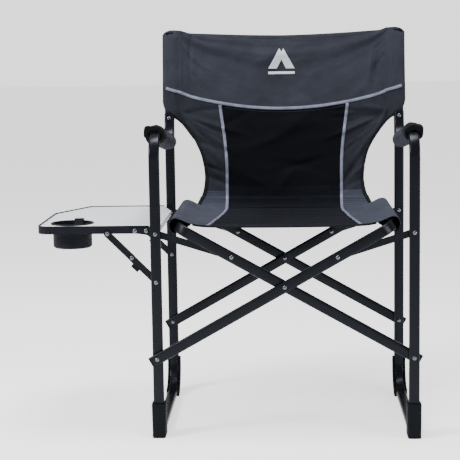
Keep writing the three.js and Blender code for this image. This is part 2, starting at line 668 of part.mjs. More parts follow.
// The back sling in its own plane: x across, y up the slope, z through the cloth.
// Sleeves run over the posts; below them the cloth draws in to a waist above the seat.
function backSling() {
  const slope = (z) => (z - RECLINE_Z) / Math.cos(RECLINE);
  const thick = 24;
  const shape = new THREE.Shape();
  shape.moveTo(-BACK_WAIST - 12, slope(BACK_HEM_Z));
  shape.lineTo(BACK_WAIST + 12, slope(BACK_HEM_Z));
  const halfHem = BACK_WAIST + 2;
  shape.quadraticCurveTo(BACK_WAIST, slope(BACK_HEM_Z + 34), BACK_WAIST, slope(528));
  shape.bezierCurveTo(halfHem, slope(610), 238, slope(664), BACK_HALF_WIDTH, slope(SLEEVE_BOTTOM_Z));
  shape.lineTo(BACK_HALF_WIDTH, slope(BACK_TOP_Z - 12));
  shape.lineTo(BACK_HALF_WIDTH - 22, slope(BACK_TOP_Z));
  shape.quadraticCurveTo(0, slope(BACK_TOP_Z - 13), -BACK_HALF_WIDTH + 22, slope(BACK_TOP_Z));
  shape.lineTo(-BACK_HALF_WIDTH, slope(BACK_TOP_Z - 12));
  shape.lineTo(-BACK_HALF_WIDTH, slope(SLEEVE_BOTTOM_Z));
  shape.bezierCurveTo(-238, slope(664), -halfHem, slope(610), -BACK_WAIST, slope(528));
  shape.quadraticCurveTo(-BACK_WAIST, slope(BACK_HEM_Z + 34), -BACK_WAIST - 12, slope(BACK_HEM_Z));
  const panel = new THREE.ExtrudeGeometry(shape, { depth: thick, bevelEnabled: false, curveSegments: 8 });
  panel.translate(0, 0, -thick / 2);
  const sleeveInner = HALF_SPACING - TUBE_WIDTH / 2 - 7;
  const bottom = slope(BACK_HEM_Z) - 20;
  const sleeveBottom = slope(SLEEVE_BOTTOM_Z) - 2;
  const top = slope(BACK_TOP_Z) + 20;
  const halfCloth = CLOTH / 2;
  const reach = BACK_HALF_WIDTH + 10;
  const trims = [1, -1].flatMap((side) => {
    const [near, far] = side > 0 ? [halfCloth, thick] : [-thick, -halfCloth];
    return [
      block([-sleeveInner, bottom, near], [sleeveInner, top, far]),
      block([-reach, bottom, near], [reach, sleeveBottom, far]),
    ];
  });
  const room = [TUBE_WIDTH / 2 + 1.7, TUBE_THICKNESS / 2 + 1.5];
  const postSpace = (x) => block([x - room[0], sleeveBottom - 60, -room[1]], [x + room[0], top, room[1]]);
  return cut(panel, ...trims, postSpace(HALF_SPACING), postSpace(-HALF_SPACING));
}

const back = addPiece(chair, "back_fabric", backSling(), seatCloth, [0, DEPTH, RECLINE_Z]);
back.rotation.order = "ZXY";
back.rotation.z = -Math.atan2(LAYER, 2 * HALF_SPACING);
back.rotation.x = Math.PI / 2 - RECLINE;

// The row's origin is under the middle of the whole outline, on the floor.
const outline = new THREE.Box3().setFromObject(chair, true);
const middle = outline.getCenter(new THREE.Vector3());
chair.position.set(-middle.x, -middle.y, -outline.min.z);

export default chair;
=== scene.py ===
"""Looks for the folding director chair: cloth, padded arms, boots, materials, camera and light."""
import json
import math
import random

import bmesh
import bpy
import numpy as np
from mathutils import Matrix, Vector, noise


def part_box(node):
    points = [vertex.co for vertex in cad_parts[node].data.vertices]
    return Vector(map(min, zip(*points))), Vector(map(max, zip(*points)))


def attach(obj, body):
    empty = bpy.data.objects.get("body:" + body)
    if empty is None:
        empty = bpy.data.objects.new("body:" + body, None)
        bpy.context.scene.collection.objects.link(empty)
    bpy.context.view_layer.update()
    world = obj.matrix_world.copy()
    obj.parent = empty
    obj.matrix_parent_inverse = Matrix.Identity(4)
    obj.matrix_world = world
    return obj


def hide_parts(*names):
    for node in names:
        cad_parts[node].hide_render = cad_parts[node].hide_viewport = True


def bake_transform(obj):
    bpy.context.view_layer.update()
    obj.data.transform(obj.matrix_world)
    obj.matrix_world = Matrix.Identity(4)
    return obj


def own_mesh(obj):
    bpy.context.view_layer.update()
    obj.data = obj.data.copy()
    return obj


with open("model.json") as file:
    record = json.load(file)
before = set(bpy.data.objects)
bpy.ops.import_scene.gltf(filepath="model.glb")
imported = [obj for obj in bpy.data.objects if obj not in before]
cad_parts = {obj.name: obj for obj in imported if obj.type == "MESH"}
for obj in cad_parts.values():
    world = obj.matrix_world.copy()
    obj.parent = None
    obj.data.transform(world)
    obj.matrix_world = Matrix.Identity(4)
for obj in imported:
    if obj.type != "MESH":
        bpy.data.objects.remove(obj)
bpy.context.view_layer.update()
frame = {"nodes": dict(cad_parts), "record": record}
MM = 0.001


# ---- Places taken from the frame ----
def middle(node):
    low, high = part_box(node)
    return (low + high) / 2


POST_X = middle("rear_leg_post_tube_right").x
CENTRE_X = (middle("rear_leg_post_tube_left").x + POST_X) / 2
HALF_SPACING = POST_X - CENTRE_X
FRONT_Y = middle("foot_rivet_left_front").y
RECLINE = math.radians(10)
LAYER_STEP = 12.3 * MM  # how far the left frame sits behind the right one

# The top of the back posts, halfway between the two frames
POST_TOP = middle("post_plug_left")
POST_Y = POST_TOP.y - LAYER_STEP / 2


def back_y(x, z):
    """The plane of the two back posts."""
    skew = -(x - CENTRE_X) / (2 * HALF_SPACING) * LAYER_STEP
    return POST_Y + (z - POST_TOP.z) * math.tan(RECLINE) + skew


# ---- Materials ----
def srgb(red, green, blue):
    """A linear colour from 0-255 screen values."""
    def linear(value):
        share = value / 255
        return share / 12.92 if share <= 0.04045 else ((share + 0.055) / 1.055) ** 2.4

    return (linear(red), linear(green), linear(blue), 1.0)


class Nodes:
    """A short way to write a node tree."""

    def __init__(self, name):
        self.material = bpy.data.materials.new(name)
        self.material.use_nodes = True
        self.tree = self.material.node_tree
        self.shader = self.tree.nodes["Principled BSDF"]

    def add(self, kind, inputs=None, **settings):
        node = self.tree.nodes.new(kind)
        for key, value in settings.items():
            setattr(node, key, value)
        for key, value in (inputs or {}).items():
            self.put(node.inputs[key], value)
        return node

    def put(self, socket, value):
        if isinstance(value, bpy.types.NodeSocket):
            self.tree.links.new(value, socket)
        else:
            socket.default_value = value

    def set(self, **inputs):
        for key, value in inputs.items():
            self.put(self.shader.inputs[key.replace("_", " ")], value)

    def noise(self, vector, scale, detail=3.0, rough=0.5):
        inputs = {"Vector": vector, "Scale": scale, "Detail": detail, "Roughness": rough}
        return self.add("ShaderNodeTexNoise", inputs).outputs["Fac"]

    def ramp(self, value, low, high, start=0.0, end=1.0):
        inputs = {"Value": value, "From Min": low, "From Max": high, "To Min": start, "To Max": end}
        return self.add("ShaderNodeMapRange", inputs).outputs["Result"]

    def mix(self, share, first, second):
        node = self.add("ShaderNodeMix", data_type="RGBA")
        for number, value in ((0, share), (6, first), (7, second)):
            self.put(node.inputs[number], value)
        return node.outputs[2]

    def math(self, operation, first, second=0.0):
        node = self.add("ShaderNodeMath", operation=operation)
        self.put(node.inputs[0], first)
        self.put(node.inputs[1], second)
        return node.outputs[0]

    def bump(self, height, distance, strength=1.0, normal=None):
        inputs = {"Height": height, "Distance": distance, "Strength": strength}
        node = self.add("ShaderNodeBump", inputs)
        if normal is not None:
            self.put(node.inputs["Normal"], normal)
        return node.outputs["Normal"]

    def wave(self, vector, axis, period):
        """A sine along one axis of a place."""
        place = self.add("ShaderNodeSeparateXYZ", {"Vector": vector}).outputs[axis]
        return self.math("SINE", self.math("MULTIPLY", place, 2 * math.pi / period))

    def stretched(self, vector, scale):
        return self.add("ShaderNodeMapping", {"Vector": vector, "Scale": scale}).outputs["Vector"]

    def object_place(self):
        return self.add("ShaderNodeTexCoord").outputs["Object"]

    def cloth_place(self):
        return self.add("ShaderNodeUVMap").outputs["UV"]


def painted_steel():
    """Satin powder coat, with orange peel and faint rub marks in patches."""
    m = Nodes("frame_paint")
    place = m.object_place()
    peel = m.noise(place, 900, 2)
    cloud = m.noise(place, 14, 4)
    patches = m.ramp(m.noise(place, 6, 2), 0.55, 0.7)
    scuffs = m.ramp(m.noise(place, 240, 5), 0.6, 0.75, 0, 0.1)
    worn = m.math("MULTIPLY", patches, scuffs)
    base = m.mix(m.ramp(cloud, 0.3, 0.7), srgb(10, 11, 15), srgb(14, 16, 21))
    m.set(
        Base_Color=m.mix(worn, base, srgb(60, 63, 70)),
        Roughness=m.ramp(m.noise(place, 60, 4), 0.3, 0.7, 0.24, 0.3),
        Specular_IOR_Level=0.2,
        Specular_Tint=(0.8, 0.87, 1.0, 1.0),
        Normal=m.bump(peel, 0.00006, 0.5),
    )
    return m.material


def bright_steel():
    m = Nodes("rivet_steel")
    place = m.object_place()
    m.set(
        Base_Color=m.mix(m.noise(place, 300, 4), srgb(84, 88, 96), srgb(128, 132, 140)),
        Metallic=1.0,
        Roughness=m.ramp(m.noise(place, 500, 3), 0.3, 0.7, 0.18, 0.34),
        Normal=m.bump(m.noise(place, 1500, 2), 0.00004, 0.6),
    )
    return m.material


def moulded_plastic(name, dark, light, rough, ridges=0.0):
    """Grained black plastic. Ridges is the height between level lines moulded round the piece."""
    m = Nodes(name)
    place = m.object_place()
    normal = m.bump(m.noise(place, 1400, 3), 0.00012, 0.7)
    if ridges:
        normal = m.bump(m.ramp(m.wave(place, 2, ridges), 0.5, 1.0), 0.0006, 0.8, normal)
    m.set(
        Base_Color=m.mix(m.noise(place, 35, 5), dark, light),
        Roughness=m.ramp(m.noise(place, 120, 4), 0.3, 0.7, rough - 0.07, rough + 0.08),
        Specular_IOR_Level=0.13,
        Specular_Tint=(0.76, 0.85, 1.0, 1.0),
        Normal=normal,
    )
    return m.material


def laminate():
    """A pale melamine face with a fine speckle and faint wiping marks."""
    m = Nodes("table_laminate")
    place = m.object_place()
    wiped = m.stretched(place, (1, 7, 1))
    speck = m.ramp(m.noise(place, 1200, 2), 0.58, 0.7)
    cloud = m.mix(m.noise(place, 9, 3), srgb(246, 249, 255), srgb(251, 253, 255))
    m.set(
        Base_Color=m.mix(m.math("MULTIPLY", speck, 0.35), cloud, srgb(224, 228, 240)),
        Roughness=m.ramp(m.noise(wiped, 60, 4), 0.3, 0.7, 0.28, 0.42),
        Normal=m.bump(m.noise(place, 1600, 2), 0.00003, 0.5),
    )
    return m.material


def woven(name, dark, light, period=1.1 * MM, ribs=0.0, crumple=1.0, shine=0.16, rib_depth=0.5 * MM):
    """Plain-woven polyester. Ribs is the spacing of a heavier rib across the cloth, as in canvas."""
    m = Nodes(name)
    place = m.cloth_place()
    over = m.math("MULTIPLY", m.wave(place, 0, period), m.wave(place, 1, period))
    thread = m.ramp(m.math("ABSOLUTE", over), 0, 1)
    cloud = m.noise(place, 11, 5, 0.6)
    slub = m.noise(m.stretched(place, (1, 12, 1)), 160, 3)
    folds = m.noise(m.stretched(place, (1, 0.7, 1)), 34, 5, 0.6)
    broad = m.math("MULTIPLY", m.ramp(cloud, 0.3, 0.7), 0.65)
    shade = m.math("ADD", m.math("MULTIPLY", thread, 0.35), broad)
    colour = m.mix(shade, dark, light)
    colour = m.mix(m.ramp(slub, 0.55, 0.8, 0, 0.25), colour, light)
    normal = m.bump(folds, 0.006 * crumple, 0.8)
    if ribs:
        normal = m.bump(m.wave(place, 1, ribs), rib_depth, 0.6, normal)
    normal = m.bump(thread, 0.00022, 0.8, normal)
    m.set(
        Base_Color=colour,
        Roughness=0.9,
        Specular_IOR_Level=shine,
        Sheen_Weight=shine * 0.44,
        Sheen_Roughness=0.4,
        Sheen_Tint=(0.78, 0.83, 1.0, 1.0),
        Normal=normal,
    )
    return m.material


def open_mesh():
    """A black knitted mesh with round holes."""
    m = Nodes("back_mesh")
    place = m.cloth_place()
    cells = m.add("ShaderNodeTexVoronoi", {"Vector": place, "Scale": 420, "Randomness": 0.08})
    hole = m.ramp(cells.outputs["Distance"], 0.34, 0.5)
    cloud = m.noise(place, 8, 4)
    m.set(
        # The holes are painted near black: painted shade in the holes.
        Base_Color=m.mix(hole, m.mix(cloud, srgb(4, 4, 7), srgb(9, 9, 14)), srgb(1, 1, 2)),
        Roughness=0.8,
        Specular_IOR_Level=0.1,
        Specular_Tint=(0.76, 0.82, 1.0, 1.0),
        Sheen_Weight=0.02,
        Normal=m.bump(m.math("SUBTRACT", 1.0, hole), 0.0004, 0.8),
    )
    return m.material


def reflective_tape():
    """Light grey piping tape with a fine cross rib."""
    m = Nodes("piping_tape")
    place = m.cloth_place()
    cloud = m.noise(place, 40, 4)
    m.set(
        Base_Color=m.mix(m.ramp(cloud, 0.3, 0.7), srgb(92, 95, 114), srgb(126, 130, 150)),
        Roughness=0.5,
        Specular_IOR_Level=0.3,
        Normal=m.bump(m.wave(place, 0, 1.6 * MM), 0.0002, 0.7),
    )
    return m.material


PAINT = painted_steel()
STEEL = bright_steel()
PLASTIC = moulded_plastic("boot_rubber", srgb(9, 10, 13), srgb(17, 18, 23), 0.6)
RIM = moulded_plastic("table_rim_plastic", srgb(14, 15, 19), srgb(24, 25, 31), 0.45, ridges=5.4 * MM)
BOARD = laminate()
BAND = woven("band_cloth", srgb(37, 39, 47), srgb(52, 54, 64))
SIDES = woven("side_cloth", srgb(28, 30, 37), srgb(42, 44, 52))
MESH = open_mesh()
RIB = 4.2 * MM
SIDE_DARK, SIDE_LIGHT = srgb(45, 48, 59), srgb(66, 69, 83)
# The seat's canvas is painted in two copies: its middle near black as painted shade, its sides lighter as
# painted light where the light falls.
SEAT_SIDES_LIT = woven("seat_side_canvas_painted_light", SIDE_DARK, SIDE_LIGHT, ribs=RIB, crumple=0.5, rib_depth=1.0 * MM)
SEAT_MIDDLE_SHADED = woven("seat_canvas_painted_shade", srgb(8, 10, 15), srgb(15, 18, 25), ribs=RIB, crumple=0.6, shine=0.08)
PAD_COVER = woven("pad_cover", srgb(34, 36, 43), srgb(51, 53, 62), crumple=0.8)
PAD_CUFF = woven("pad_cuff", srgb(4, 4, 6), srgb(10, 10, 12), crumple=1.2)
PIPING = reflective_tape()
THREAD = woven("thread", srgb(50, 53, 63), srgb(72, 75, 87), period=0.5 * MM)
HEM = woven("hem_cloth", srgb(15, 16, 20), srgb(26, 28, 34))
GLYPH = woven("glyph_print", srgb(196, 199, 206), srgb(222, 225, 230), period=0.8 * MM, crumple=0.2)


# ---- Mesh helpers ----
def new_piece(name, vertices, faces, materials, uvs=None, face_materials=None, smooth=True):
    mesh = bpy.data.meshes.new(name)
    mesh.from_pydata([tuple(v) for v in vertices], [], faces)
    for material in materials:
        mesh.materials.append(material)
    if face_materials is not None:
        mesh.polygons.foreach_set("material_index", face_materials)
    if uvs is not None:
        layer = mesh.uv_layers.new(name="UVMap")
        corners = np.zeros(len(mesh.loops), np.int32)
        mesh.loops.foreach_get("vertex_index", corners)
        layer.data.foreach_set("uv", np.asarray(uvs, np.float32)[corners].ravel())
    mesh.polygons.foreach_set("use_smooth", [smooth] * len(mesh.polygons))
    mesh.update()
    piece = bpy.data.objects.new(name, mesh)
    bpy.context.scene.collection.objects.link(piece)
    return piece


def apply_modifiers(piece):
    """Turns the piece into the mesh that its modifiers make."""
    depsgraph = bpy.context.evaluated_depsgraph_get()
    made = bpy.data.meshes.new_from_object(piece.evaluated_get(depsgraph), depsgraph=depsgraph)
    old = piece.data
    piece.modifiers.clear()
    piece.data = made
    made.name = piece.name
    bpy.data.meshes.remove(old)


def modifier(piece, kind, **settings):
    made = piece.modifiers.new(kind.lower(), kind)
    for key, value in settings.items():
        setattr(made, key, value)


def grid_faces(columns, rows, wrap=False):
    """Quads of a grid whose vertices run along each row. With wrap, a row's last vertex joins its first."""
    faces = []
    for row in range(rows - 1):
        for column in range(columns if wrap else columns - 1):
            near = row * columns + column
            right = row * columns + (column + 1) % columns
            faces.append((near, right, right + columns, near + columns))
    return faces


def capped_faces(count, rows):
    """Faces of a closed tube of rings with count vertices each, with a flat cap at both ends."""
    last = (rows - 1) * count
    caps = [tuple(range(count))[::-1], tuple(last + k for k in range(count))]
    return grid_faces(count, rows, wrap=True) + caps


def lengths_along(points):
    """How far along a line of points each one is."""
    return np.concatenate([[0], np.cumsum(np.linalg.norm(np.diff(points, axis=0), axis=1))])


def two_spans(first, second):
    """Shares from 0 to 1 and on to 2, with so many even steps in each."""
    return np.concatenate([np.linspace(0, 1, first + 1)[:-1], np.linspace(1, 2, second + 1)])


def ease(value):
    share = min(max(value, 0.0), 1.0)
    return share * share * (3 - 2 * share)


def smooth_curve(points, samples):
    """A smooth curve through points, as samples evenly spaced along it."""
    knots = np.array(points, float)
    padded = np.vstack([2 * knots[0] - knots[1], knots, 2 * knots[-1] - knots[-2]])
    fine = []
    for i in range(1, len(padded) - 2):
        a, b, c, d = padded[i - 1 : i + 3]
        for t in np.linspace(0, 1, 24, endpoint=False):
            square = (2 * a - 5 * b + 4 * c - d) * t**2
            cube = (3 * b - a - 3 * c + d) * t**3
            fine.append(0.5 * (2 * b + (c - a) * t + square + cube))
    fine.append(knots[-1])
    fine = np.array(fine)
    steps = lengths_along(fine)
    places = np.linspace(0, steps[-1], samples)
    return np.stack([np.interp(places, steps, fine[:, k]) for k in range(knots.shape[1])], axis=1)


def simulate(piece, pinned, frames, spare, cap, stiffness, bending):
    """Lets the cloth settle with its pinned points held, then keeps each point within the cap."""
    rest = np.array([v.co for v in piece.data.vertices], float)
    group = piece.vertex_groups.new(name="pinned")
    for index, weight in enumerate(pinned):
        if weight > 0:
            group.add([index], float(weight), "REPLACE")
    cloth = piece.modifiers.new("cloth", "CLOTH")
    settings = cloth.settings
    settings.quality = 6
    settings.mass = 0.25
    settings.tension_stiffness = stiffness
    settings.compression_stiffness = stiffness
    settings.shear_stiffness = stiffness * 0.4
    settings.bending_stiffness = bending
    settings.air_damping = 2.0
    settings.shrink_min = spare
    settings.vertex_group_mass = group.name
    settings.pin_stiffness = 1.0
    cloth.collision_settings.use_collision = False
    cloth.collision_settings.use_self_collision = False
    cloth.point_cache.frame_start = 1
    cloth.point_cache.frame_end = frames
    scene = bpy.context.scene
    for number in range(1, frames + 1):
        scene.frame_set(number)
    depsgraph = bpy.context.evaluated_depsgraph_get()
    settled = np.array([v.co for v in piece.evaluated_get(depsgraph).data.vertices], float)
    piece.modifiers.clear()
    piece.vertex_groups.clear()
    scene.frame_set(1)
    move = settled - rest
    length = np.linalg.norm(move, axis=1, keepdims=True)
    move *= np.minimum(1.0, cap / np.maximum(length, 1e-9))
    piece.data.vertices.foreach_set("co", (rest + move).astype(np.float32).ravel())
    piece.data.update()


# ---- Finishes on the CAD pieces ----
def smooth_shading():
    """A node group that drops the normals a mesh came with, welds its corners and shades it smooth."""
    group = bpy.data.node_groups.new("smooth_shading", "GeometryNodeTree")
    for direction in ("INPUT", "OUTPUT"):
        group.interface.new_socket("Geometry", in_out=direction, socket_type="NodeSocketGeometry")
    start = group.nodes.new("NodeGroupInput")
    drop = group.nodes.new("GeometryNodeRemoveAttribute")
    drop.inputs["Name"].default_value = "custom_normal"
    weld = group.nodes.new("GeometryNodeMergeByDistance")
    weld.inputs["Distance"].default_value = 0.02 * MM
    smooth = group.nodes.new("GeometryNodeSetShadeSmooth")
    chain = (start, drop, weld, smooth, group.nodes.new("NodeGroupOutput"))
    for first, second in zip(chain, chain[1:]):
        group.links.new(first.outputs[0], second.inputs[0])
    return group


def soften(piece, shading, width=0.0, segments=2, limit=35, domed=False):
    """Smooth shading on a faceted CAD solid. With a width, edges sharper than the limit are rounded."""
    modifier(piece, "NODES", node_group=shading)
    if width:
        angle = math.radians(limit)
        modifier(piece, "BEVEL", width=width, segments=segments, limit_method="ANGLE", angle_limit=angle)
    modifier(piece, "EDGE_SPLIT", split_angle=math.radians(50))
    if not domed:
        modifier(piece, "WEIGHTED_NORMAL", weight=100)


def finish_cad_nodes():
    finishes = {"frame": PAINT, "rivet": STEEL, "plastic": PLASTIC, "rim": RIM, "board": BOARD}
    shading = smooth_shading()
    for part in frame["record"]["subparts"]:
        node, slot = part["node"], part["material_slot"]
        if slot not in finishes:
            continue
        piece = frame["nodes"][node]
        piece.material_slots[0].material = finishes[slot]
        if node.startswith("rear_boot"):
            soften(piece, shading, 1.0 * MM, segments=3, limit=50)
        elif slot in ("frame", "rivet"):
            soften(piece, shading, domed=slot == "rivet")
        else:
            soften(piece, shading, 0.7 * MM)


# ---- The back sling ----
HEM_Z = 458 * MM  # the back's foot, on the seat
SIDE_END_Z = 500 * MM  # the seat's canvas rises to here at the sides
MESH_END_Z = 510 * MM  # and to here in the middle
WAIST_Z = 530 * MM
SLEEVE_FOOT_Z = 655 * MM
BINDING_TOP_Z = 664 * MM
HELD_Z = 690 * MM  # the sleeves hold the panel's edges above this
OUTER_HALF = 292 * MM  # half the back's width over the sleeves
PIPING_END_X = 287 * MM  # the curved piping's outer ends, from the middle
SLEEVE_EDGE = 25 * MM  # how far a sleeve piece reaches in from its post
SEAM_X = HALF_SPACING - SLEEVE_EDGE  # where the panel meets a sleeve, from the middle
CLOTH_PROUD = 8.5 * MM  # a sleeve's front face ahead of the posts' middle plane
BACK_INSET = 6 * MM  # the panel between the sleeves, behind that face
FOOT_TURN = 24 * MM  # the radius with which the back's foot turns forward


def back_half_width(z):
    """Half the back's width at a height: straight along the sleeves, a waist, then out to the seat."""
    return float(np.interp(z, BACK_EDGE[:, 1], BACK_EDGE[:, 0]))


# The back's right edge from the seat up: (distance from the middle, height), in mm
EDGE_OUTLINE = (
    (214, 455), (203, 473), (192, 500), (188, 530), (191, 560), (200, 594), (219, 628),
    (240, 651), (265, 672), (284, 687), (291, 706), (292, 740), (292, 900),
)
BACK_EDGE = smooth_curve(np.array(EDGE_OUTLINE) * MM, 160)


def piping_x(z):
    """How far each upright line of piping is from the middle."""
    low, high = 455 * MM, 704 * MM
    share = (z - low) / (high - low)
    return (137 + 20 * ease((share - 0.35) / 0.9) ** 1.1) * MM


def piping_z(x):
    """The height of the curved piping."""
    return (693 + 50 * (abs(x) / PIPING_END_X) ** 1.9) * MM


def top_z(x):
    """The back's top edge, which sags between the posts and is rounded at the outer corners."""
    share = abs(x) / OUTER_HALF
    corner = max(0.0, share - 0.9) / 0.1
    return (870 + 13 * share**1.6 - 14 * corner**3) * MM


def height_at(share, x, foot):
    """A height on the back. Shares 0, 1 and 2 are its foot, the curved piping and its top edge."""
    if share <= 1:
        return foot + share * (piping_z(x) - foot)
    return piping_z(x) + (share - 1) * (top_z(x) - piping_z(x))


def make_creases():
    """Creases as (x, z, direction, half length, half width, depth), the same on every run."""
    dice = random.Random(11)
    creases = []

    def add(x, z, direction, length, width, depth):
        creases.append((x, z, direction, length * MM, width * MM, depth * MM))

    for sign in (-1, 1):
        for _ in range(16):  # from a sleeve's foot towards the waist and the middle
            start = Vector((sign * 258 * MM, 684 * MM))
            turn = math.radians(dice.uniform(-52, 12))
            reach = dice.uniform(25, 120) * MM
            x = start.x - sign * math.cos(turn) * reach
            z = start.y + math.sin(turn) * reach
            direction = math.atan2(math.sin(turn), -sign * math.cos(turn))
            length, width = dice.uniform(22, 60), dice.uniform(4, 8)
            depth = dice.choice((-1, 1)) * dice.uniform(1.5, 3.4)
            add(x, z, direction, length, width, depth)
        for _ in range(9):  # upright folds beside the sleeve
            x = sign * dice.uniform(196, 246) * MM
            z = dice.uniform(735, 860) * MM
            direction = math.radians(90 + dice.uniform(-14, 14))
            add(x, z, direction, dice.uniform(20, 55), dice.uniform(5, 9), dice.uniform(-2.6, 2.6))
        for _ in range(12):  # down the side panels, away from the sleeve
            x = sign * dice.uniform(150, 190) * MM
            z = dice.uniform(505, 650) * MM
            direction = math.radians(sign * dice.uniform(20, 68))
            add(x, z, direction, dice.uniform(16, 38), dice.uniform(5, 9), dice.uniform(-3.4, 3.4))
    for _ in range(26):  # soft ones in the band and the mesh
        x = dice.uniform(-180, 180) * MM
        z = dice.uniform(520, 850) * MM
        direction = math.radians(dice.uniform(-60, 60))
        add(x, z, direction, dice.uniform(30, 80), dice.uniform(7, 15), dice.uniform(-2.6, 2.6))
    return np.array(creases)


CREASES = make_creases()
CREASE_STRENGTH = 1.7
CREASE_WIDTH = 0.8


def crease_depth(x, z):
    """The creases' total push towards the front at a point."""
    crease_x, crease_z, turn, length, width, depth = CREASES.T
    dx, dz = x - crease_x, z - crease_z
    along = (dx * np.cos(turn) + dz * np.sin(turn)) / length
    across = (dz * np.cos(turn) - dx * np.sin(turn)) / (width * CREASE_WIDTH)
    return CREASE_STRENGTH * float(np.sum(depth * np.exp(-(along**2) - across**2)))


def cloth_shape(x, z):
    """How far the cloth stands behind the posts' plane before it settles: a hollow and broad waves."""
    across = abs(x) / SEAM_X
    loose = 1 - ease((across - 0.86) / 0.14)
    hollow = 5 * MM * (1 - min(across, 1.0) ** 2) * ease((z - HEM_Z) / (120 * MM))
    wave = noise.noise(Vector((x * 9, z * 5, 0.3))) * 3.2 * MM
    small = noise.noise(Vector((x * 34 + z * 12, z * 30, 1.7))) * 1.0 * MM
    return hollow + (wave + small) * loose * ease((z - HEM_Z) / (40 * MM))


COLUMNS_IN = 22  # from the middle to the upright piping
COLUMNS_OUT = 24
ROWS_LOW = 56  # from the foot to the curved piping
ROWS_HIGH = 40


def back_grid():
    """Points of the back's front face. Columns follow the upright piping and rows the curved piping."""
    sides = two_spans(COLUMNS_IN, COLUMNS_OUT)
    across = np.concatenate([-sides[:0:-1], sides])
    heights = two_spans(ROWS_LOW, ROWS_HIGH)
    points = []
    for row in heights:
        for column in across:
            z = 600 * MM
            for _ in range(6):  # the width depends on the height and the height on the width
                inner = piping_x(min(z, 710 * MM))
                outer = min(back_half_width(z), SEAM_X)
                place = min(abs(column), 1) * inner + max(abs(column) - 1, 0) * (outer - inner)
                x = math.copysign(place, column)
                z = height_at(row, x, HEM_Z)
            points.append((x, z))
    return np.array(points), across, heights


def place_back(x, z):
    """A point of the back cloth in the frame. Its foot turns forward on to the seat."""
    foot = max(0.0, HEM_Z + FOOT_TURN - z) / FOOT_TURN
    forward = FOOT_TURN * (1 - math.sqrt(max(0.0, 1 - min(foot, 1) ** 2)))
    post = back_y(CENTRE_X + x, z) - CLOTH_PROUD + BACK_INSET
    return (CENTRE_X + x, post - forward + cloth_shape(x, z), z)


def tape_along(name, points, outward, ride, width=7.5 * MM, thickness=1.2 * MM, material=PIPING):
    """A flat tape on cloth. Points run along it, and outward is the cloth's facing at each point."""
    points = np.array(points, float)
    outward = np.array(outward, float)
    along = np.gradient(points, axis=0)
    along /= np.linalg.norm(along, axis=1, keepdims=True)
    side = np.cross(along, outward)
    side /= np.linalg.norm(side, axis=1, keepdims=True)
    profile = [(-0.5, -0.2), (-0.42, 0.75), (-0.2, 1.0), (0.2, 1.0), (0.42, 0.75), (0.5, -0.2)]
    vertices = []
    uvs = []
    length = lengths_along(points)
    for i, point in enumerate(points):
        for across, height in profile:
            vertices.append(point + side[i] * across * width + outward[i] * height * thickness)
            uvs.append((length[i], across * width))
    piece = outward_piece(name, vertices, capped_faces(len(profile), len(points)), [material], uvs)
    ride(piece)


def outward_piece(*parts):
    """A new piece with its faces turned outward."""
    piece = new_piece(*parts)
    turn_outward(piece)
    return piece


def turn_outward(piece):
    editable = bmesh.new()
    editable.from_mesh(piece.data)
    bmesh.ops.recalc_face_normals(editable, faces=editable.faces)
    editable.to_mesh(piece.data)
    editable.free()


def thicken(piece, thickness):
    modifier(piece, "SOLIDIFY", thickness=thickness, offset=-1.0, use_even_offset=True)
    modifier(piece, "SUBSURF", levels=1, render_levels=1)
    apply_modifiers(piece)


def build_back_panel():
    flat, across, heights = back_grid()
    columns, rows = len(across), len(heights)
    points = [place_back(x, z) for x, z in flat]
    faces = grid_faces(columns, rows)
    kinds = []
    for row in range(rows - 1):
        for column in range(columns - 1):
            centre = flat[[row * columns + column, (row + 1) * columns + column + 1]].mean(axis=0)
            column_share = abs(across[column] + across[column + 1]) / 2
            if heights[row] >= 1:
                kinds.append(0)
            elif column_share > 1:
                kinds.append(1 if centre[1] > SIDE_END_Z else 4)
            else:
                kinds.append(2 if centre[1] > MESH_END_Z else 3)
    # The back's foot carries the seat's two canvases: painted shade in the middle, painted light at the
    # sides.
    cloths = [BAND, SIDES, MESH, SEAT_MIDDLE_SHADED, SEAT_SIDES_LIT]
    piece = new_piece("back_panel", points, faces, cloths, flat, kinds)
    held = np.zeros(len(points))
    for index, (x, z) in enumerate(flat):
        edge = abs(x) > SEAM_X - 2 * MM and z > HELD_Z
        foot = z < HEM_Z + FOOT_TURN
        held[index] = 1.0 if edge or foot else 0.0
    simulate(piece, held, 20, spare=-0.012, cap=5 * MM, stiffness=15, bending=0.5)
    for vertex, (x, z) in zip(piece.data.vertices, flat):
        loose = 1 - ease((abs(x) / SEAM_X - 0.9) / 0.1)
        vertex.co.y -= crease_depth(x, z) * loose * ease((z - HEM_Z) / (40 * MM))
    piece.data.update()
    return piece, across, heights


def gather_back(piece):
    """The back rides with the left frame, on a mesh of its own."""
    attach(piece, "left_frame")
    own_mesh(piece)


def edge_height(x):
    """The height of the back's lower edge at a place across it, outside the waist."""
    outer = BACK_EDGE[BACK_EDGE[:, 1] > WAIST_Z]
    return float(np.interp(abs(x), outer[:, 0], outer[:, 1]))


# Round a post: (how far out from the seam, how far in front of it), in mm
SLEEVE_OUTLINE = (
    (-6, -0.9), (-1, -0.2), (3, 0.9), (7, 3.2), (11, 5.6), (17, 6.5), (25, 6.9), (33, 6.3), (38, 4.4),
    (41, 1.0), (41.6, -2.6), (40.5, -6.4), (37, -9.6), (31, -11.4), (24, -11.7), (16, -11.2), (9, -7.2),
    (4, -3.4), (-6, -2.2),
)
FRONT_COLUMNS = 8  # the points of the outline that face the front


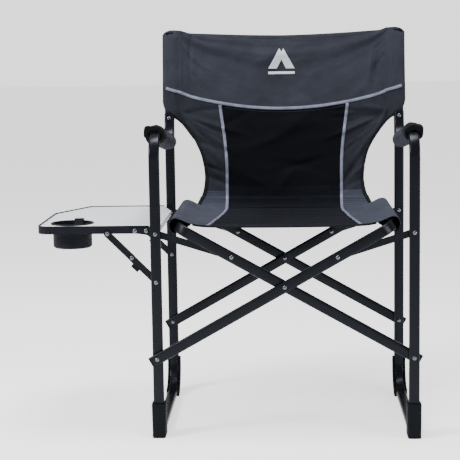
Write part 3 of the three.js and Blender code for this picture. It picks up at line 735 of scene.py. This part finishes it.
def sleeve(side, seam):
    """The pocket of cloth round one back post. Seam is the panel's edge, as rising points."""
    sign = -1 if side == "left" else 1
    count = len(SLEEVE_OUTLINE)
    outline = np.array(SLEEVE_OUTLINE)
    around = lengths_along(outline) * MM
    level = 12  # the row along the curved piping
    heights = two_spans(level, 29)
    points = []
    uvs = []
    for t in heights:
        for k, (out, proud) in enumerate(outline):
            x = sign * (SEAM_X + out * MM)
            z = height_at(t, x, edge_height(x))
            closing = 1 - 0.8 * ease((t - 1.86) / 0.14)
            share = max(out, 0) / outline[:, 0].max()
            seam_y = float(np.interp(z, seam[:, 2], seam[:, 1]))
            post_y = back_y(CENTRE_X + sign * HALF_SPACING, z) - 2.5 * MM
            base = seam_y + (post_y - seam_y) * ease(share * 4)
            loose = ease(share * 3) * (1 if k < count - 3 else 0)
            fold = noise.noise(Vector((x * 26, z * 17, proud * 0.05))) * 1.5 * MM
            fold += noise.noise(Vector((x * 60, z * 48, 4.0 + proud * 0.1))) * 0.7 * MM
            points.append((CENTRE_X + x, base - proud * MM * closing + fold * loose, z))
            uvs.append((x + around[k] * 0.3, z))
    kinds = [0 if height >= 1 else 1 for height in heights[:-1] for _ in range(count - 1)]
    faces = grid_faces(count, len(heights))
    piece = outward_piece(f"back_sleeve_{side}", points, faces, [BAND, SIDES], uvs, kinds)
    modifier(piece, "SOLIDIFY", thickness=1.0 * MM, offset=0.0)
    modifier(piece, "SUBSURF", levels=1, render_levels=1)
    apply_modifiers(piece)

    def ride(made):
        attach(made, f"{side}_frame")

    ride(piece)
    grid = np.array(points).reshape(len(heights), count, 3)[:, :FRONT_COLUMNS]
    if sign < 0:
        grid = grid[:, ::-1]
    normals = panel_normals(grid)
    lifted = grid + normals * 1.3 * MM
    tape_along(f"piping_sleeve_{side}", lifted[level], normals[level], ride)
    for place, rows in (("top", -1), ("foot", 0)):
        line = grid[rows] + normals[rows] * 0.9 * MM
        line[:, 2] += -5 * MM if rows else 4 * MM
        hem = BAND if rows else HEM
        tape_along(f"sleeve_hem_{place}_{side}", line, normals[rows], ride, 8 * MM, 0.8 * MM, hem)


def panel_normals(points):
    """Unit normals of a grid of points, facing the front."""
    along_rows = np.gradient(points, axis=0)
    along_columns = np.gradient(points, axis=1)
    normals = np.cross(along_columns, along_rows)
    normals /= np.linalg.norm(normals, axis=2, keepdims=True)
    flip = np.where(normals[..., 1] > 0, -1.0, 1.0)
    return normals * flip[..., None]


def stitch_run(name, line, outward, ride):
    """A run of short raised threads along a line on the cloth."""
    pitch, gauge = 4.2 * MM, 0.45 * MM
    line = np.array(line, float)
    outward = np.array(outward, float)
    steps = lengths_along(line)
    vertices = []
    faces = []
    uvs = []
    for start in np.arange(pitch / 2, steps[-1] - pitch, pitch):
        ends = start, start + pitch * 0.66
        a, b = (np.array([np.interp(e, steps, line[:, i]) for i in range(3)]) for e in ends)
        up = np.array([np.interp(start, steps, outward[:, i]) for i in range(3)])
        up /= np.linalg.norm(up)
        along = (b - a) / np.linalg.norm(b - a)
        side = np.cross(along, up)
        first = len(vertices)
        for share, size in ((0.0, 0.35), (0.2, 1.0), (0.8, 1.0), (1.0, 0.35)):
            centre = a + (b - a) * share
            for turn in np.arange(6) * math.pi / 3:
                offset = side * math.cos(turn) + up * math.sin(turn)
                vertices.append(centre + offset * gauge * size)
                uvs.append((start + share * pitch, turn * gauge))
        faces += [tuple(first + k for k in face) for face in capped_faces(6, 4)]
    piece = outward_piece(name, vertices, faces, [THREAD], uvs)
    ride(piece)


def build_back():
    panel, across, heights = build_back_panel()
    shape = (len(heights), len(across), 3)
    points = np.array([v.co for v in panel.data.vertices], float).reshape(shape)
    normals = panel_normals(points)
    lifted = points + normals * 0.8 * MM
    tape_along("piping_curved", lifted[ROWS_LOW], normals[ROWS_LOW], gather_back)
    for side, sign in (("left", -1), ("right", 1)):
        column = int(np.argmin(abs(across - sign)))
        line, face = lifted[:ROWS_LOW, column], normals[:ROWS_LOW, column]
        tape_along(f"piping_upright_{side}", line, face, gather_back)
        edge = 1 if side == "left" else -2
        low = points[:, edge][points[:, edge, 2] < BINDING_TOP_Z]
        face = normals[: len(low), edge]
        tape_along(f"waist_binding_{side}", low + face * 0.9 * MM, face, gather_back, 9 * MM, 1.0 * MM, HEM)
        inner = 4 if side == "left" else -5
        high = slice(ROWS_LOW + 2, -1)
        for gap, tag in ((0, "a"), (1, "b")):
            place = inner - sign * gap
            stitches = points[high, place] + normals[high, place] * 0.8 * MM
            stitch_run(f"sleeve_stitch_{tag}_{side}", stitches, normals[high, place], gather_back)
    top = points[-1] + normals[-1] * 0.6 * MM
    top[:, 2] -= 5 * MM
    tape_along("top_hem", top, normals[-1], gather_back, 10 * MM, 0.9 * MM, BAND)
    stitch_run("top_hem_stitch", points[-4] + normals[-4] * 0.7 * MM, normals[-4], gather_back)
    for offset, tag in ((1, "above"), (-2, "below")):
        row = ROWS_LOW + offset
        line = points[row] + normals[row] * 0.7 * MM
        stitch_run(f"piping_stitch_{tag}", line, normals[row], gather_back)
    build_glyph(points, normals)
    seams = {"left": points[:, 0].copy(), "right": points[:, -1].copy()}
    thicken(panel, 1.5 * MM)
    gather_back(panel)
    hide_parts("back_fabric")
    for side, seam in seams.items():
        sleeve(side, seam[seam[:, 2] > SLEEVE_FOOT_Z])


def build_glyph(points, normals):
    """A plain tent shape printed on the band."""
    flat = points.reshape(-1, 3)
    outward = normals.reshape(-1, 3)
    outlines = (
        ((-32, 0), (-5, 48), (0, 40), (0, 22), (-11, 0)),
        ((32, 0), (5, 48), (0, 40), (0, 22), (11, 0)),
        ((-32, -13), (32, -13), (32, -7), (-32, -7)),
    )
    editable = bmesh.new()
    for outline in outlines:
        editable.faces.new([editable.verts.new((x * MM, 0, z * MM)) for x, z in outline])
    bmesh.ops.triangulate(editable, faces=editable.faces)
    for _ in range(4):
        bmesh.ops.subdivide_edges(editable, edges=editable.edges, cuts=1, use_grid_fill=True)
    centre = Vector((CENTRE_X - 4 * MM, 0, 785 * MM))
    uvs = []
    for vertex in editable.verts:
        place = vertex.co + centre
        uvs.append((vertex.co.x, vertex.co.z))
        gap = (flat[:, 0] - place.x) ** 2 + (flat[:, 2] - place.z) ** 2
        near = np.argsort(gap)[:6]
        weight = 1 / (gap[near] + 2e-6)
        weight /= weight.sum()
        y = float((flat[near, 1] * weight).sum())
        face = (outward[near] * weight[:, None]).sum(axis=0)
        vertex.co = Vector((place.x, y, place.z)) + Vector(face) * 1.0 * MM
    vertices = [vertex.co.copy() for vertex in editable.verts]
    editable.verts.index_update()
    faces = [[vertex.index for vertex in face.verts] for face in editable.faces]
    editable.free()
    piece = new_piece("tent_print", vertices, faces, [GLYPH], uvs)
    modifier(piece, "SOLIDIFY", thickness=0.7 * MM, offset=-1.0)
    apply_modifiers(piece)
    gather_back(piece)


# ---- The seat sling ----
RAIL_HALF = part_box("seat_fabric_right")[1].x - 9 * MM - CENTRE_X
SEAT_FRONT = FRONT_Y + 20 * MM
SEAT_REAR = FRONT_Y + 386 * MM
SEAT_Z = 458 * MM
RIPPLE_DEPTH = 0.7 * MM
RIPPLE_SPACING = 42 * MM


def seat_section():
    """The sling's section across the chair: a pocket round each rail and a shallow sag between them."""
    half = (  # distance from the middle and height above SEAT_Z, in mm
        (0, -1.0), (80, -0.6), (150, 0.6), (185, 3), (208, 9.5), (226, 17.5), (238, 18.5), (246, 12),
        (249, 2), (246, -9), (238, -15.5), (226, -13.5), (212, -4.5), (200, 2.6),
    )
    curve = smooth_curve(np.array(half) * MM + (0, SEAT_Z), 64)
    return np.vstack([curve[:0:-1] * (-1, 1), curve])


def build_seat():
    section = seat_section()
    columns, rows = len(section), 64
    shares = [row / (rows - 1) for row in range(rows)]
    length = lengths_along(section)
    length -= length[-1] / 2
    points = []
    uvs = []
    for share in shares:
        for k, (x, z) in enumerate(section):
            rear = SEAT_REAR - 12 * MM * (1 - ease((abs(x) - 190 * MM) / (36 * MM)))
            y = SEAT_FRONT + share * (rear - SEAT_FRONT)
            along = abs(x) / RAIL_HALF
            dip = -5 * MM * math.sin(math.pi * share) * max(0.0, 1 - along**2)
            sway = noise.noise(Vector((x * 5, y * 3, 5.0))) * 3.5
            flat = 1 - ease((along - 0.7) / 0.25)
            ripple = RIPPLE_DEPTH * math.sin(2 * math.pi * y / RIPPLE_SPACING + sway) * flat
            free = min(1.0, share * 6, (1 - share) * 6)
            fold = (noise.noise(Vector((x * 7, y * 16, 2.1))) * 1.2 * MM + ripple) * free
            points.append((CENTRE_X + x, y, z + dip + (fold if along < 1.05 else 0)))
            uvs.append((length[k], y))
    faces = grid_faces(columns, rows)
    # Inside the piping the seat takes the canvas painted as shade, outside it the canvas painted as lit.
    kinds = []
    for share in shares[:-1]:
        for k in range(columns - 1):
            x = abs(section[k][0] + section[k + 1][0]) / 2
            kinds.append(0 if x < seat_piping_x(share) else 1)
    seat = new_piece("seat_sling", points, faces, [SEAT_MIDDLE_SHADED, SEAT_SIDES_LIT], uvs, kinds)
    grid = np.array(points).reshape(rows, columns, 3)
    thicken(seat, 1.6 * MM)
    turn_outward(seat)
    blend_seat(seat)
    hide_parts("seat_fabric_left", "seat_fabric_right")
    for side, sign in (("left", -1), ("right", 1)):
        line = []
        for row, share in zip(grid, shares):
            line.append(point_on_row(row, CENTRE_X + sign * seat_piping_x(share)))
        face = np.tile((0.0, 0.0, 1.0), (rows, 1))
        tape_along(f"seat_piping_{side}", line, face, blend_seat)
    hem = [(x, y - 0.3 * MM, z - 1.2 * MM) for x, y, z in grid[0][abs(section[:, 0]) < 200 * MM]]
    front = np.tile((0.0, -1.0, 0.0), (len(hem), 1))
    tape_along("seat_front_hem", hem, front, blend_seat, 5 * MM, material=HEM)


def seat_piping_x(share):
    """Half the distance between the seat's lines of piping: wide at the front, narrow at the back."""
    return (137 + 27 * (1 - min(share / 0.85, 1.0))) * MM


def point_on_row(row, x):
    """The place across one row of the seat's points, just above its upper face."""
    top = row[(abs(row[:, 0] - CENTRE_X) < 222 * MM) & (row[:, 2] > SEAT_Z - 8 * MM)]
    top = top[np.argsort(top[:, 0])]
    y, z = (np.interp(x, top[:, 0], top[:, axis]) for axis in (1, 2))
    return (x, y, z + 0.4 * MM)


def blend_seat(piece):
    """Bakes the piece's place into its own vertices."""
    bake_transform(piece)


# ---- Arm pads ----
PAD_THICKNESS = 33 * MM
ARM_BEND = 50 * MM  # the radius of the tube's bends at both ends of the pad


def pad_line(side):
    """The arm's centre line through its pad, as a function from a distance to a place and an up
    direction, and the pad's length. Past both ends the line follows the tube's bends."""
    low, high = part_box(f"arm_pad_{side}")
    half = PAD_THICKNESS / 2
    front = Vector((middle(f"arm_pad_{side}").x, low.y, high.z - half))
    rear = Vector((front.x, high.y, low.z + half))
    along = (rear - front).normalized()
    up = Vector((1, 0, 0)).cross(along).normalized()
    if up.z < 0:
        up.negate()
    total = (rear - front).length

    def place(distance):
        if 0 <= distance <= total:
            return front + along * distance, up
        ahead = distance < 0
        turn = (-distance if ahead else distance - total) / ARM_BEND
        lean = up * math.cos(turn) - along * math.sin(turn)
        shift = (lean - up) * ARM_BEND
        return (front + shift if ahead else rear - shift), lean

    return place, total


def wrapped_tube(name, side, start, end, radius_at, material, steps, ring=48):
    """A soft sleeve round the arm tube between two distances, drawn in on to the tube at both ends."""
    place, _ = pad_line(side)
    points = []
    uvs = []
    across = Vector((1, 0, 0))
    for i in range(steps):
        distance = start + (end - start) * i / (steps - 1)
        centre, up = place(distance)
        for k in range(ring):
            turn = 2 * math.pi * k / ring
            radius = radius_at(distance, turn)
            points.append(centre + across * math.cos(turn) * radius + up * math.sin(turn) * radius)
            uvs.append((turn * 18 * MM, distance))
    for distance, share in ((end, 1.0), (end - 2 * MM, 0.62), (start + 2 * MM, 0.62), (start, 1.0)):
        centre, up = place(distance)
        for k in range(ring):
            turn = 2 * math.pi * k / ring
            wide = (12.0 + 3.5 * (share - 0.62)) * MM * math.cos(turn)
            thin = (6.6 + 5 * (share - 0.62)) * MM * math.sin(turn)
            points.append(centre + across * wide + up * thin)
            uvs.append((turn * 12 * MM, distance))
    faces = grid_faces(ring, steps + 4, wrap=True)
    last = (steps + 3) * ring
    for k in range(ring):
        following = (k + 1) % ring
        faces.append((last + k, last + following, following, k))
    piece = outward_piece(name, points, faces, [material], uvs)
    modifier(piece, "SUBSURF", levels=1, render_levels=1)
    apply_modifiers(piece)
    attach(piece, f"{side}_frame")
    return piece


def build_pad(side):
    """A wrapped foam pad with a bunched black cuff over its front end."""
    _, total = pad_line(side)
    end = total + 9 * MM
    outward, seed = (-1, 3.0) if side == "left" else (1, 8.0)

    def cover(distance, turn):
        gather = 1 - 0.3 * (1 - ease((end - distance) / (9 * MM))) ** 2
        folds = noise.noise(Vector((math.cos(turn) * 1.4, math.sin(turn) * 1.4, distance * 30))) * 1.0 * MM
        pleats = math.sin(turn * 17) * 0.5 * MM * (1 - ease((end - distance) / (22 * MM)))
        seam = -0.9 * MM * math.exp(-(((math.sin(turn) + 1) / 0.04) ** 2))
        return (20.0 * MM + folds + pleats + seam) * gather

    def cuff(distance, turn):
        share = (distance - cuff_start) / (cuff_end - cuff_start)
        shoulder = ease(share / 0.16) * ease((1 - share) / 0.1)
        around, over = math.cos(turn), math.sin(turn)
        crumple = noise.noise(Vector((around * 1.7, over * 1.7, distance * 75 + seed))) * 3.0
        wrinkles = noise.noise(Vector((around * 5, over * 5, distance * 210 + seed))) * 1.3
        rolls = math.sin(distance * 620 + math.sin(turn * 3 + seed) * 1.4) * 0.8
        flap = flap_size * math.exp(-(((around * outward - 0.8) / 0.28) ** 2)) * (1 if over > -0.2 else 0.4)
        flap *= 1 - ease((share - 0.3) / 0.35)
        tucked = 3.0 * max(0.0, -over) ** 2
        folds = (crumple + wrinkles + rolls) * (0.4 + 0.6 * shoulder)
        return (cuff_radius - tucked + 1.2 * shoulder + folds + flap) * MM

    wrapped = wrapped_tube(f"arm_pad_cover_{side}", side, 2 * MM, end, cover, PAD_COVER, 110)
    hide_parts(f"arm_pad_{side}")
    cuff_start, flap_size, cuff_radius = (-7 * MM, 7.5, 19.6) if side == "left" else (-20 * MM, 3.0, 19.0)
    cuff_end = 44 * MM
    wrapped_tube(f"arm_pad_cuff_{side}", side, cuff_start, cuff_end, cuff, PAD_CUFF, 56, ring=72)


# ---- Boots and rivets ----
def rounded_box_ring(half_width, front, back, radius, z):
    """A level ring with rounded corners."""
    per_corner = 5
    ring = []
    corners = ((half_width, back), (-half_width, back), (-half_width, front), (half_width, front))
    for quarter, (x, y) in enumerate(corners):
        centre_x = x - math.copysign(radius, x)
        centre_y = y - radius if y == back else y + radius
        for step in range(per_corner):
            turn = math.radians(90 * quarter + 90 * step / (per_corner - 1))
            ring.append((centre_x + radius * math.cos(turn), centre_y + radius * math.sin(turn), z))
    return ring


def build_front_boot(side):
    """A moulded boot with rounded corners, a ribbed sole and a lip round the leg."""
    low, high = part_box(f"front_boot_{side}")
    centre_x = (low.x + high.x) / 2
    leg_y = low.y + 17 * MM
    scale = high.z / (85 * MM)  # the moulded boot stands a little lower than its CAD solid
    rows = [  # height, half width, front, back, corner radius
        (0.0, 13.2, -15.6, 34.6, 4.0),
        (0.6, 14.0, -16.6, 35.6, 4.6),
        (3.2, 14.3, -17.0, 36.0, 4.8),
        (3.9, 13.7, -16.3, 35.3, 4.4),
        (4.6, 13.7, -16.3, 35.3, 4.4),
        (5.3, 14.3, -17.0, 36.0, 4.8),
        (7.6, 14.3, -16.9, 35.7, 4.8),
        (8.3, 13.8, -16.2, 35.0, 4.4),
        (9.2, 14.2, -16.5, 35.0, 4.8),
        (30.0, 14.6, -15.5, 30.5, 5.0),
        (55.0, 15.1, -13.8, 25.5, 5.2),
        (76.0, 15.4, -12.4, 21.6, 5.2),
        (79.4, 15.3, -12.1, 21.0, 5.2),
        (81.0, 14.4, -11.0, 19.8, 4.8),
        (80.6, 12.6, -7.2, 7.2, 5.9),
        (70.0, 12.0, -6.5, 6.5, 5.9),
    ]
    vertices = []
    uvs = []
    for z, half, front, back, radius in rows:
        ring = rounded_box_ring(half * MM, front * MM, back * MM, radius * MM, z * MM)
        for k, (x, y, level) in enumerate(ring):
            vertices.append((centre_x + x, leg_y + y, level * scale))
            uvs.append((k * 5 * MM, level))
    faces = capped_faces(len(ring), len(rows))
    piece = outward_piece(f"front_boot_moulded_{side}", vertices, faces, [PLASTIC], uvs)
    sharp = math.radians(50)
    modifier(piece, "BEVEL", width=0.35 * MM, segments=2, limit_method="ANGLE", angle_limit=sharp)
    apply_modifiers(piece)
    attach(piece, f"{side}_frame")
    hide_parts(f"front_boot_{side}")


BRACKET_RIVETS = ((-45, 6), (-20, 6))  # across and above the stay's rivet, in mm


def build_bracket_rivets():
    """Domed heads over the two rivets that fix each table bracket to the rim."""
    profile = [(5.2, 0), (5.2, 0.6), (4.3, 1.6), (2.6, 2.1), (1.2, 2.2)]  # radius, height
    ring = 24
    for where, facing in (("front", -1), ("rear", 1)):
        low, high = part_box(f"table_bracket_{where}")
        face = low.y + 1 * MM if facing < 0 else high.y - 1 * MM
        pivot = middle(f"stay_rivet_left_{where}")
        for number, (x, z) in enumerate(BRACKET_RIVETS):
            centre = Vector((pivot.x + x * MM, face, pivot.z + z * MM))
            vertices = []
            for radius, height in profile:
                for k in range(ring):
                    turn = 2 * math.pi * k / ring
                    across, up = radius * math.cos(turn), radius * math.sin(turn)
                    vertices.append(centre + Vector((across * MM, facing * height * MM, up * MM)))
            faces = capped_faces(ring, len(profile))
            piece = outward_piece(f"bracket_rivet_{where}_{number}", vertices, faces, [STEEL])
            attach(piece, "table")


# ---- Stage ----
def build_stage():
    size = 30.0
    faces = [(0, 1, 2, 3)]
    corners = [(-size, -size, 0), (size, -size, 0), (size, size, 0), (-size, size, 0)]
    floor = new_piece("floor", corners, faces, [pale_floor()], smooth=False)
    world = bpy.data.worlds.new("studio")
    world.use_nodes = True
    nodes, links = world.node_tree.nodes, world.node_tree.links
    background = nodes["Background"].inputs
    background["Color"].default_value = (1, 1, 1, 1)
    strength = nodes.new("ShaderNodeMapRange")
    strength.inputs["To Min"].default_value = 0.42
    strength.inputs["To Max"].default_value = 1.8
    links.new(nodes.new("ShaderNodeLightPath").outputs["Is Camera Ray"], strength.inputs["Value"])
    links.new(strength.outputs["Result"], background["Strength"])
    bpy.context.scene.world = world
    add_light("key", (-2.3, -1.5, 2.0), (0, 0, 0.5), 0.9, 100)
    add_light("fill", (2.5, -1.7, 0.9), (0, 0, 0.5), 1.3, 38)
    add_light("top", (0.1, -0.2, 3.0), (-0.1, 0, 0.5), 1.2, 70)


def pale_floor():
    m = Nodes("pale_floor")
    path = m.add("ShaderNodeLightPath").outputs
    seen = m.math("MULTIPLY", path["Is Camera Ray"], 1.2)
    mirrored = m.math("MULTIPLY", path["Is Glossy Ray"], 0.4)
    glow = m.math("ADD", seen, mirrored)
    m.set(
        Base_Color=(0.93, 0.93, 0.93, 1),
        Roughness=0.9,
        Specular_IOR_Level=0.1,
        Emission_Color=(1, 1, 1, 1),
        Emission_Strength=glow,
    )
    return m.material


def add_light(name, place, target, size, power):
    data = bpy.data.lights.new(name, "AREA")
    data.shape = "DISK"
    data.size = size
    data.energy = power
    light = bpy.data.objects.new(name, data)
    light.location = place
    aim = Vector(target) - Vector(place)
    light.rotation_euler = aim.to_track_quat("-Z", "Y").to_euler()
    bpy.context.scene.collection.objects.link(light)


def build_camera():
    """Straight on, a little above the arms, looking slightly down."""
    distance, height, aside = 2.9, 0.8334, 0.008
    pitch, yaw, roll = math.radians(7.48), math.radians(2.43), math.radians(0.87)
    data = bpy.data.cameras.new("camera")
    data.sensor_width = 36
    data.lens = 107.8
    camera = bpy.data.objects.new("camera", data)
    look = Matrix.Rotation(yaw, 4, "Z") @ Matrix.Rotation(-pitch, 4, "X") @ Matrix.Rotation(roll, 4, "Y")
    stand_up = Matrix.Rotation(math.pi / 2, 4, "X")
    place = Matrix.Translation((CENTRE_X + aside, FRONT_Y - distance, height))
    camera.matrix_world = place @ look @ stand_up
    bpy.context.scene.collection.objects.link(camera)
    bpy.context.scene.camera = camera


finish_cad_nodes()
for boot_side in ("left", "right"):
    build_front_boot(boot_side)
build_bracket_rivets()
build_back()
build_seat()
for arm in ("left", "right"):
    build_pad(arm)
build_stage()
build_camera()
